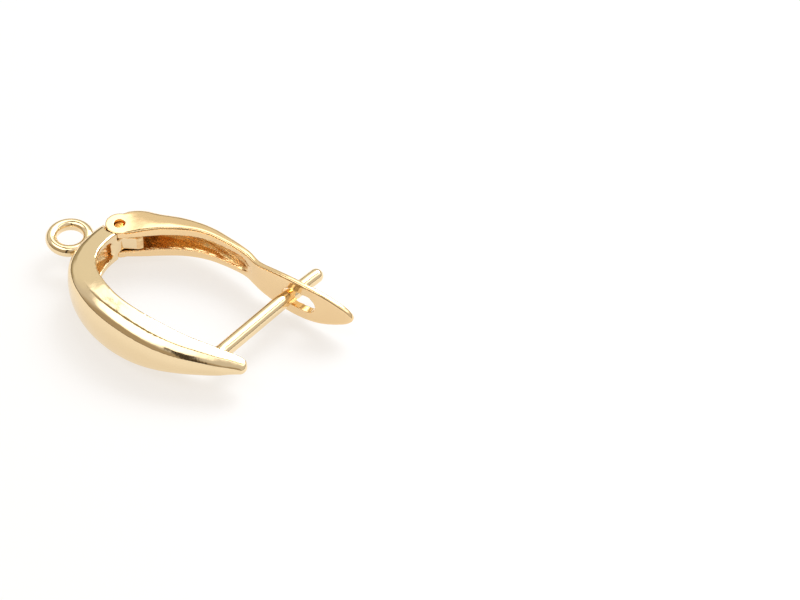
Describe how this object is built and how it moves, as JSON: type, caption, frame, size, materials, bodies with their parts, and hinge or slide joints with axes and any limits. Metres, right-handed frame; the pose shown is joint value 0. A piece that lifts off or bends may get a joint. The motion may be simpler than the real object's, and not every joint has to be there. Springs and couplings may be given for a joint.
{
  "type": "creole hoop earring",
  "caption": "Gold-coloured lever-back creole hoop earring with a tapered crescent front, an ear post, a slotted hinged lever and a drop loop.",
  "frame": {"origin": "centre of the drop loop's hole, half way across the hoop's width", "axes": "+X from the front half to the lever, +Y from the ear post to the drop loop, +Z across the hoop, up as the earring lies on its side"},
  "size_m": [0.0111, 0.0199, 0.0034],
  "materials": {
    "polished_gold": "polished gold plate over brass",
    "satin_gold": "satin gold plate over brass",
    "rivet_gold": "gold plate over brass"
  },
  "bodies": {
    "front": {"front": "polished_gold", "rivet": "rivet_gold"},
    "lever": {"lever": "satin_gold"}
  },
  "joints": [
    {"name": "lever_hinge", "type": "hinge", "parent": "front", "child": "lever", "pos_m": [0.00156, -0.0026, 0], "axis": [0, 0, 1], "range_deg": [0, 60]}
  ]
}
